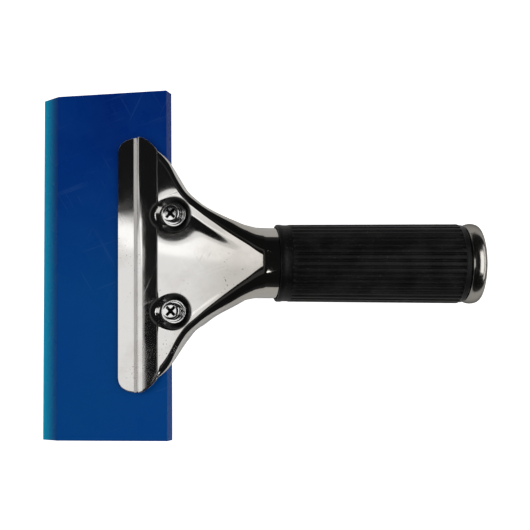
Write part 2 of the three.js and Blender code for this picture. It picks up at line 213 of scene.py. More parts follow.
def smooth_min(a, b, reach):
    """The lower of two heights, rounded where they cross by a parabola of the given reach."""
    h = np.clip(0.5 + 0.5 * (b - a) / reach, 0, 1)
    return b * (1 - h) + a * h - reach * h * (1 - h)


def smooth_step(low, high, x):
    """0 below low, 1 above high and 3u^2 - 2u^3 between them."""
    u = np.clip((x - low) / (high - low), 0, 1)
    return u * u * (3 - 2 * u)


def grid_faces(rows, columns, wrap_rows=False, wrap_columns=False):
    """Quads of a grid of points in row order, closed on itself along rows or columns where asked."""
    i, j = np.meshgrid(
        np.arange(rows if wrap_rows else rows - 1),
        np.arange(columns if wrap_columns else columns - 1),
        indexing="ij",
    )
    after_i, after_j = (i + 1) % rows, (j + 1) % columns
    corners = [i * columns + j, after_i * columns + j, after_i * columns + after_j, i * columns + after_j]
    return np.stack(corners, axis=-1).reshape(-1, 4)


def make_mesh(name, points, faces, marks=None):
    """A mesh from blade-frame points and arrays of faces, with float attributes and normals outwards."""
    mesh = bpy.data.meshes.new(name)
    points = np.asarray(points, float).reshape(-1, 3)
    mesh.vertices.add(len(points))
    mesh.vertices.foreach_set("co", place(points).astype(np.float32).ravel())
    sizes = np.concatenate([np.full(len(block), block.shape[1]) for block in faces])
    mesh.loops.add(int(sizes.sum()))
    corners = np.concatenate([block.ravel() for block in faces])
    mesh.loops.foreach_set("vertex_index", corners.astype(np.int32))
    mesh.polygons.add(len(sizes))
    starts = np.concatenate([[0], np.cumsum(sizes)[:-1]])
    mesh.polygons.foreach_set("loop_start", starts.astype(np.int32))
    mesh.update(calc_edges=True)
    for mark, values in (marks or {}).items():
        attribute = mesh.attributes.new(mark, "FLOAT", "POINT")
        attribute.data.foreach_set("value", np.asarray(values, np.float32).ravel())
    mesh.validate()
    if signed_volume(mesh) < 0:
        mesh.flip_normals()
    return mesh


def signed_volume(mesh):
    """Volume enclosed by a closed mesh: the sum over triangles of a . (b x c) / 6."""
    mesh.calc_loop_triangles()
    corners = np.empty(3 * len(mesh.loop_triangles), np.int32)
    mesh.loop_triangles.foreach_get("vertices", corners)
    spots = np.empty(3 * len(mesh.vertices), np.float32)
    mesh.vertices.foreach_get("co", spots)
    a, b, c = spots.reshape(-1, 3)[corners.reshape(-1, 3)].transpose(1, 0, 2)
    return float(np.einsum("ij,ij->i", a, np.cross(b, c)).sum() / 6)


def blade_frame(mesh):
    """A mesh's vertices back in the blade frame, in mm."""
    spots = np.empty(3 * len(mesh.vertices), np.float32)
    mesh.vertices.foreach_get("co", spots)
    return (spots.reshape(-1, 3) - ORIGIN) @ np.stack([ALONG, ACROSS, UP]).T / MM


def paint_seat_shade(mesh):
    """Marks painted shade on each vertex: a dark line along the step behind the bead, and the seats but for
    their front.
    """
    x, y, z = blade_frame(mesh).T
    # Painted shade along the step where the facet rises behind the bead.
    step = np.exp(-(((x - FACET_START + 0.05) / 0.2) ** 2)) * (z > FACET_TOP - 0.3)
    seats = 0.0 * x
    # Painted shade in each seat, left off the wall that faces the bead.
    for side in (-1, 1):
        radius = np.hypot(x - SCREW_X, y - side * SCREW_Y)
        facing = (SCREW_X - x) / np.maximum(radius, 0.1)
        unshaded_front = smooth_step(0.55, 0.8, facing)
        seats = np.maximum(seats, smooth_step(6.9, 6.1, radius) * (1 - unshaded_front) * (z > 0))
    marks = mesh.attributes.new("painted_shade", "FLOAT", "POINT")
    marks.data.foreach_set("value", np.maximum(step, seats).astype(np.float32))


def new_object(name, data):
    """An object for a mesh, lamp or camera, put in the scene."""
    made = bpy.data.objects.new(name, data)
    bpy.context.scene.collection.objects.link(made)
    return made


def add_piece(name, mesh, material, body, node, crease=35, paint_shade=None):
    """A finished piece that stands for a CAD node: smooth-shaded apart from edges sharper than the crease."""
    piece = new_object(name, mesh)
    if mesh.materials.get(material.name) is None:
        mesh.materials.clear()
        mesh.materials.append(material)
    # Where asked, paints shade into the mesh as a vertex attribute.
    if paint_shade:
        paint_shade(mesh)
    mesh.polygons.foreach_set("use_smooth", np.ones(len(mesh.polygons), bool))
    mesh.set_sharp_from_angle(angle=np.radians(crease))
    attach(piece, body)
    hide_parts(node)
    return piece


def soften_edges(piece, width, segments=2, angle=50):
    """Rounds the edges that are sharper than an angle, by a width in millimetres."""
    bevel = piece.modifiers.new("soft_edges", "BEVEL")
    bevel.width = width * MM
    bevel.segments = segments
    bevel.limit_method = "ANGLE"
    bevel.angle_limit = np.radians(angle)
    bevel.harden_normals = False


def cut_holes(mesh, cutters):
    """The mesh with closed cutter meshes taken out of it."""
    scrap = new_object("scrap", mesh)
    tools = []
    for index, cutter in enumerate(cutters):
        tool = new_object(f"cutter_{index}", cutter)
        cut = scrap.modifiers.new(tool.name, "BOOLEAN")
        cut.operation = "DIFFERENCE"
        cut.solver = "EXACT"
        cut.material_mode = "TRANSFER"
        cut.object = tool
        tools.append(tool)
    bpy.context.view_layer.update()
    graph = bpy.context.evaluated_depsgraph_get()
    result = bpy.data.meshes.new_from_object(scrap.evaluated_get(graph))
    result.name = mesh.name
    for thing in [scrap, *tools]:
        bpy.data.objects.remove(thing)
    for spare in [mesh, *cutters]:
        bpy.data.meshes.remove(spare)
    return result


def capped_rings(name, side, radius, height, ends):
    """
    A closed solid from rings round a screw's axis: row by row the radius and height of every angle, with a
    point on the axis at the height of each end.
    """
    rows, segments = radius.shape
    rings = about_screw(side, radius, whole_turn(segments), height)
    poles = about_screw(side, 0.0, 0.0, ends)
    count = rows * segments
    last = count - segments
    spot = np.arange(segments)
    after = (spot + 1) % segments
    low = np.stack([after, spot, np.full(segments, count)], axis=-1)
    high = np.stack([last + spot, last + after, np.full(segments, count + 1)], axis=-1)
    sides = grid_faces(rows, segments, wrap_columns=True)[:, ::-1]
    return make_mesh(name, np.concatenate([rings.reshape(-1, 3), poles]), [sides, low, high])


# ---- Shapes ----
# The head's flare, folds and skirts run along x in shares of the facet's length. Its bead runs in mm.
FLARE = [
    [0, 1], [0.118, 0.82], [0.17, 0.68], [0.226, 0.55], [0.271, 0.46], [0.349, 0.36], [0.432, 0.27],
    [0.56, 0.168], [0.686, 0.085], [0.794, 0.03], [0.92, 0],
]
BEAD_RISE = [
    [0, 0], [1.75, 1.1], [2.12, 1.7], [2.6, 1.94], [3.35, 2.06], [4.2, 2.0], [BEAD_WIDTH, FACET_RISE],
]
FOLD_WIDTH = [
    [0, 0.3], [0.14, 0.38], [0.226, 0.33], [0.29, 0.29], [0.384, 0.27], [0.52, 0.32], [0.64, 0.4],
    [0.764, 0.49], [0.844, 0.59], [0.92, 0.73], [1.0, 0.88], [1.08, 0.97], [1.16, 1],
]
ROOM_OVER_BLADE = FACET_TOP - SEAT_GAP
SKIRT_START = (BLADE_WIDTH + SKIRT_SETBACK - FACET_START) / FACET_LENGTH
FOLD_DROP = [
    [0, 0.4 * ROOM_OVER_BLADE / TUBE_RADIUS], [SKIRT_START, 0.75 * ROOM_OVER_BLADE / TUBE_RADIUS],
    [0.25, 0.26], [0.384, 0.2], [0.64, 0.3], [0.844, 0.6], [0.92, 0.78], [1, 0.93], [1.12, 1],
]
UNDER_ROUND = [[0.3, 0.3], [0.55, 0.4], [0.77, 0.7], [1, 1]]
SKIRT_SHARE = [
    [0, 0], [SKIRT_START, 0], [0.226, 0.25], [0.3825, 0.42], [0.5825, 0.56], [0.77, 0.76], [1, 1],
]
LEAN = [[0.7, 0], [1, 1]]
SKIRT_TUCK = [[0, 0], [0.05, 0.3], [0.2, 0.3], [0.36, 0.12], [0.6, 0.1], [0.75, 0.15], [0.9, 0.08], [1, 0]]


def half_width(x):
    """Half the head's width at x: two parabolas round the jaw's corner, then the flare down to the tube."""
    front = np.sqrt(np.clip((x - LIP_X) / (JAW_PEAK_X - LIP_X), 0, 1))
    corner = JAW_HALF - (JAW_HALF - LIP_HALF) * (1 - front) ** 2
    back = np.clip((x - JAW_PEAK_X) / (FACET_START - JAW_PEAK_X), 0, 1)
    shoulder = JAW_HALF - (JAW_HALF - SHOULDER_HALF) * back**2
    share = (x - FACET_START) / FACET_LENGTH
    flared = TUBE_RADIUS + (SHOULDER_HALF - TUBE_RADIUS) * eased(FLARE, share, 0.05)
    return np.where(x < JAW_PEAK_X, corner, np.where(x < FACET_START, shoulder, flared))


def flat_half(x):
    """Half the width of the facet's flat between its folded edges."""
    share = (x - FACET_START) / FACET_LENGTH
    return half_width(x) - TUBE_RADIUS * eased(FOLD_WIDTH, share, 0.05)


def jaw_height(x):
    """Height of the jaw's upper skin along x: flat lip, then the bead's curve up to the flat facet."""
    run = np.clip(x - BEAD_START, 0, BEAD_WIDTH)
    return LIP_TOP + eased(BEAD_RISE, run, 0.16) - eased(BEAD_RISE, 0 * run, 0.16) * (run < 0.01)


def facet_relief(x, y):
    """Shallow draw marks in the facet: a bell-shaped dish round each seat and a valley beside each fold."""
    relief = 0.0 * (x + y)
    for side in (-1, 1):
        radius = np.hypot(x - SCREW_X, y - side * SCREW_Y)
        dish = np.exp(-(((radius - DISH_RADIUS) / DISH_REACH) ** 2))
        relief = relief - DISH_DEPTH * dish * (x > FACET_START)
    inset = flat_half(x) - np.abs(y)
    valley = VALLEY_INSET - VALLEY_SLANT * (x - SCREW_X)
    span = smooth_step(*VALLEY_STARTS, x) * smooth_step(*VALLEY_FADES, x)
    return relief - VALLEY_DEPTH * span * np.exp(-(((inset - valley) / VALLEY_WIDTH) ** 2))


def pressed(x, y, height):
    """Height with the two screw seats pressed in: flat-bottomed cones, less steep on the bead's side."""
    for side in (-1, 1):
        radius = np.hypot(x - SCREW_X, y - side * SCREW_Y)
        bead_side = np.clip((SCREW_X - x) / np.maximum(radius, 1), 0, 1) ** 2
        slope = np.tan(DIMPLE_SLOPE) * (1 - DIMPLE_FRONT_EASE * bead_side)
        wall = (radius - DIMPLE_FLOOR_RADIUS - DIMPLE_FRONT_SHIFT * bead_side) * slope
        cone = DIMPLE_FLOOR - smooth_min(-wall, 0 * wall, DIMPLE_FLOOR_ROUND)
        height = np.where(radius < DIMPLE_REACH, smooth_min(cone, height, DIMPLE_RIM_ROUND), height)
    return height


def quarter_length(a, b):
    """Length of a quarter ellipse with half-axes a and b, by Ramanujan's first term."""
    return np.pi / 4 * (a + b) * (1 + ((a - b) / (a + b)) ** 2 / 4)


def head_stations():
    """Places of the head's cross-sections along x, and beyond the neck along the tube's axis."""
    corner = LIP_X + (JAW_PEAK_X - LIP_X) * np.linspace(0.04, 1, 9) ** 2
    bead = BEAD_START + BEAD_WIDTH * (1 - np.cos(np.pi * np.linspace(0, 1, 45))) / 2
    seats = np.linspace(FACET_START, SEATS_END, 48)
    neck = np.linspace(SEATS_END, APEX_X - 3, 40)
    apex = APEX_X + np.linspace(-2.7, 2.7, 19)
    tube = APEX_X + np.array([3.2, 4, GRIP_START, 8, 30, 55, GRIP_END, 77.5, TUBE_LENGTH])
    front = np.concatenate([[LIP_X], corner[corner < BEAD_START - 0.3]])
    return np.concatenate([front, bead, seats[1:], neck[1:], apex, tube])


def head_mesh():
    """
    The whole stamped head as one folded sheet. At each station the outer skin runs from the top centre over
    a flat, a quarter-ellipse fold, a straight skirt, a quarter circle under it and a flat towards the seam.
    The inner skin is one sheet thickness inside it, and the rims close the sheet.
    """
    flat_steps, fold_steps, run_steps = 78, 14, 20
    x = head_stations()[:, None]
    share = (x - FACET_START) / FACET_LENGTH
    folded = smooth_step(FACET_START - FOLD_LEAD, FACET_START + 2 * FOLD_LEAD, x)
    half = half_width(x)
    fold = EDGE_ROUND + folded * (TUBE_RADIUS * eased(FOLD_WIDTH, share, 0.05) - EDGE_ROUND)
    fold = np.minimum(fold, half * 0.999)
    drop = EDGE_ROUND + folded * (TUBE_RADIUS * eased(FOLD_DROP, share, 0.05) - EDGE_ROUND)
    under = TUBE_RADIUS * through(UNDER_ROUND, share)
    turn = BEND * through(LEAN, share)
    reach = (APEX_X - np.minimum(x, APEX_X)) * np.sin(BEND)
    depth = (2 * TUBE_RADIUS - reach) / np.cos(BEND - turn)
    flat = half - fold
    arc = quarter_length(fold, drop)
    straight = np.maximum(depth - drop - under, 0)
    under_arc = quarter_length(under, under)
    whole = straight + under_arc + np.maximum(half - under, 0)
    jaw_side = JAW_SKIRT - (JAW_SKIRT - LEAST_SKIRT) * folded
    least = np.where(share < SKIRT_START, jaw_side, LEAST_SKIRT)
    run = np.clip(whole * through(SKIRT_SHARE, share), least, whole - SEAM_GAP / 2)

    step = np.concatenate([
        np.linspace(0, 1, flat_steps + 1),
        1 + np.linspace(0, 1, fold_steps + 1)[1:],
        2 + np.linspace(0, 1, run_steps + 1)[1:],
    ])[None, :]
    on_flat = np.clip(step, 0, 1)
    angle = np.clip(step - 1, 0, 1) * np.pi / 2
    along = np.clip(step - 2, 0, 1) * run
    down = np.minimum(along, straight)
    bend = np.clip((along - straight) / under, 0, np.pi / 2)
    inward = np.maximum(along - straight - under_arc, 0)
    y = flat * on_flat + fold * np.sin(angle) - under * (1 - np.cos(bend)) - inward
    y = y - through(SKIRT_TUCK, share) * down
    z = -drop * (1 - np.cos(angle)) - down - under * np.sin(bend)
    tilt = np.arctan2(drop * np.sin(angle), fold * np.cos(angle)) + bend
    travel = (flat * on_flat + arc * angle / (np.pi / 2) + along) / (flat + arc + run)

    beyond = np.maximum(x - APEX_X, 0)
    base_x = np.minimum(x, APEX_X) + beyond * np.cos(BEND)
    slope_line = -(x - APEX_X) * np.sin(BEND)
    base_z = jaw_height(x) + smooth_min(slope_line, 0 * slope_line, BEND_ROUND)
    inner_y = folded * (y - SHEET * np.sin(tilt)) + (1 - folded) * half * travel
    inner_z = folded * (z - SHEET * np.cos(tilt)) - (1 - folded) * SHEET

    def skin(side_y, side_z, sheet):
        spot_x = base_x + side_z * np.sin(turn)
        spot_z = base_z + side_z * np.cos(turn)
        top = pressed(spot_x, side_y, spot_z + sheet + facet_relief(spot_x, side_y)) - sheet
        height = np.where(x < PRESSED_END, top, spot_z)
        return np.stack([np.broadcast_to(spot_x, side_y.shape), side_y, height], axis=-1)

    loop = np.concatenate([
        skin(y, z, 0.0), skin(inner_y, inner_z, SHEET)[:, ::-1],
        skin(-inner_y, inner_z, SHEET)[:, 1:], skin(-y, z, 0.0)[:, :0:-1],
    ], axis=1)
    rows, columns = loop.shape[:2]
    steps = y.shape[1]
    sides = grid_faces(rows, columns, wrap_columns=True)
    outer = np.arange(steps)
    inner = 2 * steps - 1 - outer
    other_inner = inner[0] + outer
    other_outer = (columns - outer) % columns
    ends = []
    for row in (0, rows - 1):
        for outside, inside in ((outer, inner), (other_outer, other_inner)):
            quad = np.stack([outside[:-1], outside[1:], inside[1:], inside[:-1]], axis=-1)
            same = (row == 0) == (outside is outer)
            ends.append(row * columns + (quad if same else quad[:, ::-1]))
    mesh = make_mesh("stamped_head", loop, [sides, *ends])
    return cut_holes(mesh, [screw_hole(side, DIMPLE_FLOOR) for side in (-1, 1)])


def screw_hole(side, height):
    """A closed cylinder that cuts a screw's clearance hole through one sheet at a height."""
    ends = np.array([height - HOLE_REACH, height + HOLE_REACH])
    return capped_rings("hole_cutter", side, np.full((2, 48), HOLE_RADIUS), ends[:, None], ends)


def blade_mesh():
    """The blade as its side profile swept along y: fine steps along its length and a face across each end."""
    outline = np.array([
        [0, -BLADE_THICKNESS], [0, EDGE_LAND - BLADE_THICKNESS], [BEVEL_WIDTH, 0],
        [0.5 * BLADE_WIDTH, 0], [BLADE_WIDTH, 0], [BLADE_WIDTH, -BLADE_THICKNESS],
        [0.5 * BLADE_WIDTH, -BLADE_THICKNESS], [BEVEL_WIDTH, -BLADE_THICKNESS],
    ])
    y = np.linspace(-0.5, 0.5, 9) * BLADE_LENGTH
    points = np.empty((len(y), len(outline), 3))
    points[..., 0] = outline[:, 0]
    points[..., 1] = y[:, None]
    points[..., 2] = outline[:, 1]
    sides = grid_faces(len(y), len(outline), wrap_columns=True)
    first = np.arange(len(outline))
    last = first + (len(y) - 1) * len(outline)
    return make_mesh("urethane_blade", points, [sides, first[None, :], last[None, ::-1]])


def plate_mesh():
    """The clamp plate: a bead like the head's, a flat, then a raised tail, one sheet thick, swept along y."""
    flat_end = SCREW_X + NUT_FLATS
    tail_top = FACET_TOP - SHEET - SEAT_GAP
    tail_run = (tail_top - PLATE_TOP) / np.tan(TAIL_SLOPE)
    tail_end = flat_end + tail_run + TAIL_FLAT
    front = LIP_X + PLATE_INSET
    lip = front + (JAW_PEAK_X - front) * np.linspace(0, 1, 8) ** 2
    bead = BEAD_START + BEAD_WIDTH * (1 - np.cos(np.pi * np.linspace(0, 1, 33))) / 2
    rear = np.linspace(FACET_START, tail_end, 60)[1:]
    x = np.concatenate([lip[lip < BEAD_START - 0.2], bead, rear])[:, None]
    lower = -BLADE_THICKNESS - jaw_height(x)
    ramp = np.clip(x - flat_end, 0, tail_run)
    bends = smooth_min(x - flat_end, 0 * x + tail_run, TAIL_BEND_ROUND)
    climb = -smooth_min(-bends, 0 * x, TAIL_BEND_ROUND) * np.tan(TAIL_SLOPE)
    steep = smooth_step(0, TAIL_BEND_REACH, ramp) * smooth_step(0, TAIL_BEND_REACH, tail_run - ramp)
    thick = SHEET * (1 + (1 / np.cos(TAIL_SLOPE) - 1) * steep)
    lower = lower + climb
    upper = np.where(x > flat_end - 2, PLATE_TOP - SHEET + climb + thick, lower + SHEET)
    half = np.where(x < FACET_START, half_width(x) - PLATE_INSET, flat_half(x) - PLATE_SIDE)
    half = np.minimum(half, half_width(x - PLATE_INSET) - PLATE_INSET)
    step = np.linspace(-1, 1, 97)[None, :]
    y = half * step
    grid = np.broadcast_to(x, y.shape)
    top = np.stack([grid, y, np.broadcast_to(upper, y.shape)], axis=-1)
    bottom = np.stack([grid, y, np.broadcast_to(lower, y.shape)], axis=-1)
    loop = np.concatenate([top, bottom[:, ::-1]], axis=1)
    rows, columns = loop.shape[:2]
    sides = grid_faces(rows, columns, wrap_columns=True)
    across = np.arange(step.shape[1] - 1)
    quad = np.stack([across, across + 1, columns - 2 - across, columns - 1 - across], axis=-1)
    ends = [quad, (rows - 1) * columns + quad[:, ::-1]]
    mesh = make_mesh("clamp_plate_fine", loop, [sides, *ends])
    return cut_holes(mesh, [screw_hole(side, PLATE_TOP) for side in (-1, 1)])


def rounded(corners, reach, steps=4):
    """A closed profile with rounded corners: each becomes a parabola that starts a reach away from it."""
    corners = np.array(corners, float)
    before = corners - np.roll(corners, 1, axis=0)
    after = np.roll(corners, -1, axis=0) - corners
    length_before = np.linalg.norm(before, axis=1)
    length_after = np.linalg.norm(after, axis=1)
    reach = np.minimum(reach, 0.45 * np.minimum(length_before, length_after))
    start = corners - before * (reach / length_before)[:, None]
    end = corners + after * (reach / length_after)[:, None]
    t = np.linspace(0, 1, steps + 1)[None, :, None]
    curve = (1 - t) ** 2 * start[:, None] + 2 * t * (1 - t) * corners[:, None] + t**2 * end[:, None]
    return curve.reshape(-1, 2)


def screw_mesh(name, side):
    """A screw turned about its axis, with a threaded shank and a cross recess cut into its domed head."""
    top = HEAD_BASE + HEAD_HEIGHT
    dome = np.linspace(1, 0, 4)[:-1] * (HEAD_RADIUS - 0.22)
    dome_profile = [[r, top - HEAD_DOME * (r / HEAD_RADIUS) ** 2] for r in dome]
    rim = [[HEAD_RADIUS, HEAD_BASE + 0.12], [HEAD_RADIUS, top - 0.34], [HEAD_RADIUS - 0.07, top - 0.15]]
    head_profile = [[SCREW_RADIUS, HEAD_BASE], [HEAD_RADIUS - 0.12, HEAD_BASE], *rim, *dome_profile]
    thread_start = SCREW_END + 0.6
    thread = np.arange(thread_start, HEAD_BASE - 1.2, THREAD_PITCH / 6)
    shank = [[SCREW_RADIUS - 0.5, SCREW_END], *[[SCREW_RADIUS, h] for h in thread]]
    profile = np.array([*shank, *head_profile])
    radius, height = profile[:, :1], profile[:, 1:]
    cut = thread_cut(height, whole_turn(60), thread_start)
    on_shank = (np.arange(len(profile)) < len(shank))[:, None]
    mesh = capped_rings(name, side, radius - cut * on_shank, height, np.array([SCREW_END, top]))
    mesh.materials.append(plated)
    return cut_holes(mesh, [recess_cutter(side, top)])


def thread_cut(height, angle, start):
    """Depth of a vee thread below the shank: a triangle wave of height less the turn, faded at its ends."""
    phase = (height - start) / THREAD_PITCH - angle / (2 * np.pi)
    wave = 2 * np.abs(phase - np.round(phase))
    low_fade = smooth_step(start - 0.1, start + 0.8, height)
    high_fade = smooth_step(HEAD_BASE - 3.2, HEAD_BASE - 4.5, height)
    return THREAD_DEPTH * wave * low_fade * high_fade


def recess_cutter(side, top):
    """A cross of two tapering bars, closed top and bottom, for the driver's recess."""
    arm, half, corner = 2.05, 0.5, 0.72
    outline = []
    for quarter in range(4):
        turn = np.pi / 4 + quarter * np.pi / 2
        cosine, sine = np.cos(turn), np.sin(turn)
        for forward, sideways in ((corner, -half), (arm, -half), (arm, half), (corner, half)):
            outline.append([forward * cosine - sideways * sine, forward * sine + sideways * cosine])
    outline = np.array(outline)
    levels = np.array([[top + 0.5, 1.12], [top - 1.0, 0.95], [top - 1.8, 0.4]])
    count = len(outline)
    rows = np.empty((len(levels), count, 3))
    rows[..., :2] = levels[:, 1:, None] * outline + np.array([SCREW_X, side * SCREW_Y])
    rows[..., 2] = levels[:, :1]
    spot = np.arange(count)
    sides = grid_faces(len(levels), count, wrap_columns=True)
    caps = [spot[None, ::-1], (len(levels) - 1) * count + spot[None, :]]
    cutter = make_mesh("recess_cutter", rows, [sides, *caps])
    # The recess's cut faces take the near-black painted-shade material.
    cutter.materials.append(recess_shade)
    return cutter


def spring_washer_mesh(name, side):
    """A lock washer: a rounded section carried round most of a turn, its height rising with the angle."""
    bore, thick = SCREW_RADIUS + 0.2, SPRING_THICKNESS - SPRING_LIFT
    section = rounded([[bore, 0.0], [SPRING_RADIUS, 0.0], [SPRING_RADIUS, thick], [bore, thick]], 0.16)
    split = 0.13
    angle = np.linspace(split, 2 * np.pi - split, 72)[:, None]
    lift = SPRING_BASE + SPRING_LIFT * (angle - split) / (2 * np.pi - 2 * split)
    points = about_screw(side, section[None, :, 0], angle, section[None, :, 1] + lift)
    rows, columns = points.shape[:2]
    sides = grid_faces(rows, columns, wrap_columns=True)
    first = np.arange(columns)
    return make_mesh(name, points, [sides, first[None, :], first[None, ::-1] + (rows - 1) * columns])


def flat_washer_mesh(name, side):
    """A flat washer: a closed section with rounded corners, carried round the screw's axis."""
    bore, top = SCREW_RADIUS + 0.3, WASHER_BASE + WASHER_THICKNESS
    corners = [[bore, WASHER_BASE], [WASHER_RADIUS, WASHER_BASE], [WASHER_RADIUS, top], [bore, top]]
    section = rounded(corners, 0.2)
    points = about_screw(side, section[:, :1], whole_turn(96), section[:, 1:])
    faces = grid_faces(*points.shape[:2], wrap_rows=True, wrap_columns=True)
    return make_mesh(name, points, [faces])


def nut_mesh(name, side):
    """A hexagon nut: its wall's radius follows the flats, and a 30-degree cone takes off the top corners."""
    angle = whole_turn(96)
    wall = 0.5 * NUT_FLATS / np.cos((angle + np.pi / 6) % (np.pi / 3) - np.pi / 6)
    face = 0.5 * NUT_FLATS * 0.97
    sunk = (wall - face) * np.tan(np.radians(30))
    bore = SCREW_RADIUS + 0.25
    lead = 0.3
    high, low = NUT_TOP, NUT_TOP - NUT_THICKNESS
    even = np.ones_like(angle)
    half_radius = [bore * even, (bore + lead) * even, face * even, wall]
    radius = np.stack([*half_radius, *half_radius[::-1]])
    height = np.stack([
        (low + lead) * even, low * even, low * even, low + sunk,
        high - sunk, high * even, high * even, (high - lead) * even,
    ])
    points = about_screw(side, radius, angle, height)
    faces = grid_faces(len(radius), len(angle), wrap_rows=True, wrap_columns=True)
    return make_mesh(name, points, [faces])


def grip_mesh():
    """
    The ribbed sleeve round the handle's axis. The outer radius is a taper with a lipped collar in front and a
    plain band behind; between them a flat-topped wave of the angle presses grooves between the ribs.
    """
    rib_front = GRIP_START + COLLAR_LENGTH
    rib_rear = GRIP_END - REAR_BAND
    waist = GRIP_FRONT - 0.17
    collar = [
        [GRIP_START, GRIP_FRONT - 0.4], [GRIP_START + 0.12, GRIP_FRONT - 0.15],
        [GRIP_START + 0.4, GRIP_FRONT], [GRIP_START + 1.5, GRIP_FRONT],
        [GRIP_START + 1.9, GRIP_FRONT - 0.06], [GRIP_START + 2.3, waist],
        [rib_front - 0.5, waist], [rib_front - 0.2, GRIP_FRONT - 0.1], [rib_front, GRIP_FRONT],
    ]
    share = smooth_step(0, 1, np.linspace(0.02, 0.98, 30))[:, None]
    ribs = np.array([rib_front, GRIP_FRONT]) * (1 - share) + np.array([rib_rear, GRIP_REAR]) * share
    rear = [
        [rib_rear, GRIP_REAR], [rib_rear + 0.15, GRIP_REAR - 0.22], [rib_rear + 0.4, GRIP_REAR - 0.32],
        [GRIP_END - 0.6, GRIP_REAR - 0.34], [GRIP_END - 0.2, GRIP_REAR - 0.5], [GRIP_END, GRIP_REAR - 0.8],
    ]
    bore = [[GRIP_END, GRIP_INNER], [0.5 * (GRIP_START + GRIP_END), GRIP_INNER], [GRIP_START, GRIP_INNER]]
    profile = np.array([*collar, *ribs, *rear, *bore])
    length, radius = profile[:, :1], profile[:, 1:]
    angle = whole_turn(16 * RIB_COUNT)
    wave = 0.5 + 0.5 * np.cos(RIB_COUNT * angle)
    groove = smooth_step(0.62, 0.95, wave)
    ribbed = smooth_step(rib_front - 0.1, rib_front + 0.7, length)
    ribbed = ribbed * smooth_step(rib_rear + 0.1, rib_rear - 0.7, length)
    ribbed = ribbed * (np.arange(len(profile)) < len(profile) - len(bore))[:, None]
    sunk = ribbed * (RIB_CROWN * wave + RIB_DEPTH * groove)
    points = about_handle(length, radius - sunk, angle)
    faces = grid_faces(*points.shape[:2], wrap_rows=True, wrap_columns=True)
    return make_mesh("ribbed_grip", points, [faces], {"groove": ribbed * groove})


def ring_mesh():
    """The bead ring at the handle's end: a half-ellipse bulge over a short sleeve, carried round the axis."""
    end = RING_START + RING_LENGTH
    base = GRIP_INNER + 0.45
    arc = np.linspace(0, np.pi, 33)
    length = RING_START + RING_LENGTH * (1 - np.cos(arc)) / 2
    bulge = np.column_stack([length, base + (RING_OUTER - base) * np.sin(arc)])
    sleeve = [
        [end, base - 0.3], [end - 0.15, GRIP_INNER], [RING_START + 0.15, GRIP_INNER],
        [RING_START, base - 0.3],
    ]
    profile = np.array([*bulge, *sleeve])
    points = about_handle(profile[:, :1], profile[:, 1:], whole_turn(160))
    faces = grid_faces(*points.shape[:2], wrap_rows=True, wrap_columns=True)
    return make_mesh("bead_ring", points, [faces])


# ---- Materials ----
def new_material(name):
    """A material with an empty Principled shader: returns the material, its tree and the shader node."""
    material = bpy.data.materials.new(name)
    material.use_nodes = True
    tree = material.node_tree
    return material, tree, tree.nodes["Principled BSDF"]


def node(tree, kind, **settings):
    """A node of a kind, with its properties and, for names that aren't properties, its inputs set."""
    made = tree.nodes.new(kind)
    for key, value in settings.items():
        if hasattr(made, key):
            setattr(made, key, value)
        else:
            made.inputs[key.replace("_", " ")].default_value = value
    return made


def feed(tree, value, socket):
    """Links an input to another node's output, or sets it to a number or colour."""
    if isinstance(value, bpy.types.NodeSocket):
        tree.links.new(value, socket)
    else:
        socket.default_value = value


def math_node(tree, operation, *values):
    """A Math node on values that are each a socket or a number; gives back its output."""
    made = node(tree, "ShaderNodeMath", operation=operation)
    for socket, value in zip(made.inputs, values):
        feed(tree, value, socket)
    return made.outputs[0]


def weighted_sum(tree, base, *terms):
    """A base number plus socket times factor for each (socket, factor) term; gives back the sum's output."""
    total = base
    for value, factor in terms:
        total = math_node(tree, "MULTIPLY_ADD", value, factor, total)
    return total


def map_range(tree, value, low, high, to_low=0.0, to_high=1.0):
    """A clamped change of range from a socket, with a smooth step; gives back its output."""
    made = node(
        tree, "ShaderNodeMapRange", interpolation_type="SMOOTHSTEP",
        From_Min=low, From_Max=high, To_Min=to_low, To_Max=to_high,
    )
    tree.links.new(value, made.inputs["Value"])
    return made.outputs[0]


def mix_colour(tree, factor, first, second):
    """A colour mix; the factor is a socket or a number, and each colour a socket or four numbers."""
    made = node(tree, "ShaderNodeMix", data_type="RGBA")
    for index, value in ((0, factor), (6, first), (7, second)):
        feed(tree, value, made.inputs[index])
    return made.outputs[2]


def object_spot(tree):
    """The Object coordinates' output."""
    return tree.nodes.new("ShaderNodeTexCoord").outputs["Object"]


def noise(tree, coordinates, scale, detail=2.0, rough=0.5, stretch=None, turn=(0, 0, 0)):
    """A noise texture's value at given coordinates, which may be turned and then stretched first."""
    if stretch:
        mapping = node(tree, "ShaderNodeMapping", vector_type="TEXTURE", Scale=stretch, Rotation=turn)
        tree.links.new(coordinates, mapping.inputs["Vector"])
        coordinates = mapping.outputs[0]
    made = node(tree, "ShaderNodeTexNoise", Scale=scale, Detail=detail, Roughness=rough)
    tree.links.new(coordinates, made.inputs["Vector"])
    return made.outputs["Fac"]


def dress(tree, shader, colour, rough, height, depth):
    """Feeds a shader its colour, its roughness and a bump whose height of 1 is a depth in metres."""
    tree.links.new(colour, shader.inputs["Base Color"])
    tree.links.new(rough, shader.inputs["Roughness"])
    bump = node(tree, "ShaderNodeBump", Strength=1.0, Distance=depth)
    tree.links.new(height, bump.inputs["Height"])
    tree.links.new(bump.outputs[0], shader.inputs["Normal"])


def new_group(name, inputs, outputs):
    """An empty shader node group with float inputs {name: value} and outputs; returns tree, in and out."""
    tree = bpy.data.node_groups.new(name, "ShaderNodeTree")
    for title, value in inputs.items():
        socket = tree.interface.new_socket(title, in_out="INPUT", socket_type="NodeSocketFloat")
        socket.default_value = value
    for title in outputs:
        tree.interface.new_socket(title, in_out="OUTPUT", socket_type="NodeSocketFloat")
    entry = tree.nodes.new("NodeGroupInput")
    leave = tree.nodes.new("NodeGroupOutput")
    return tree, entry.outputs, leave.inputs


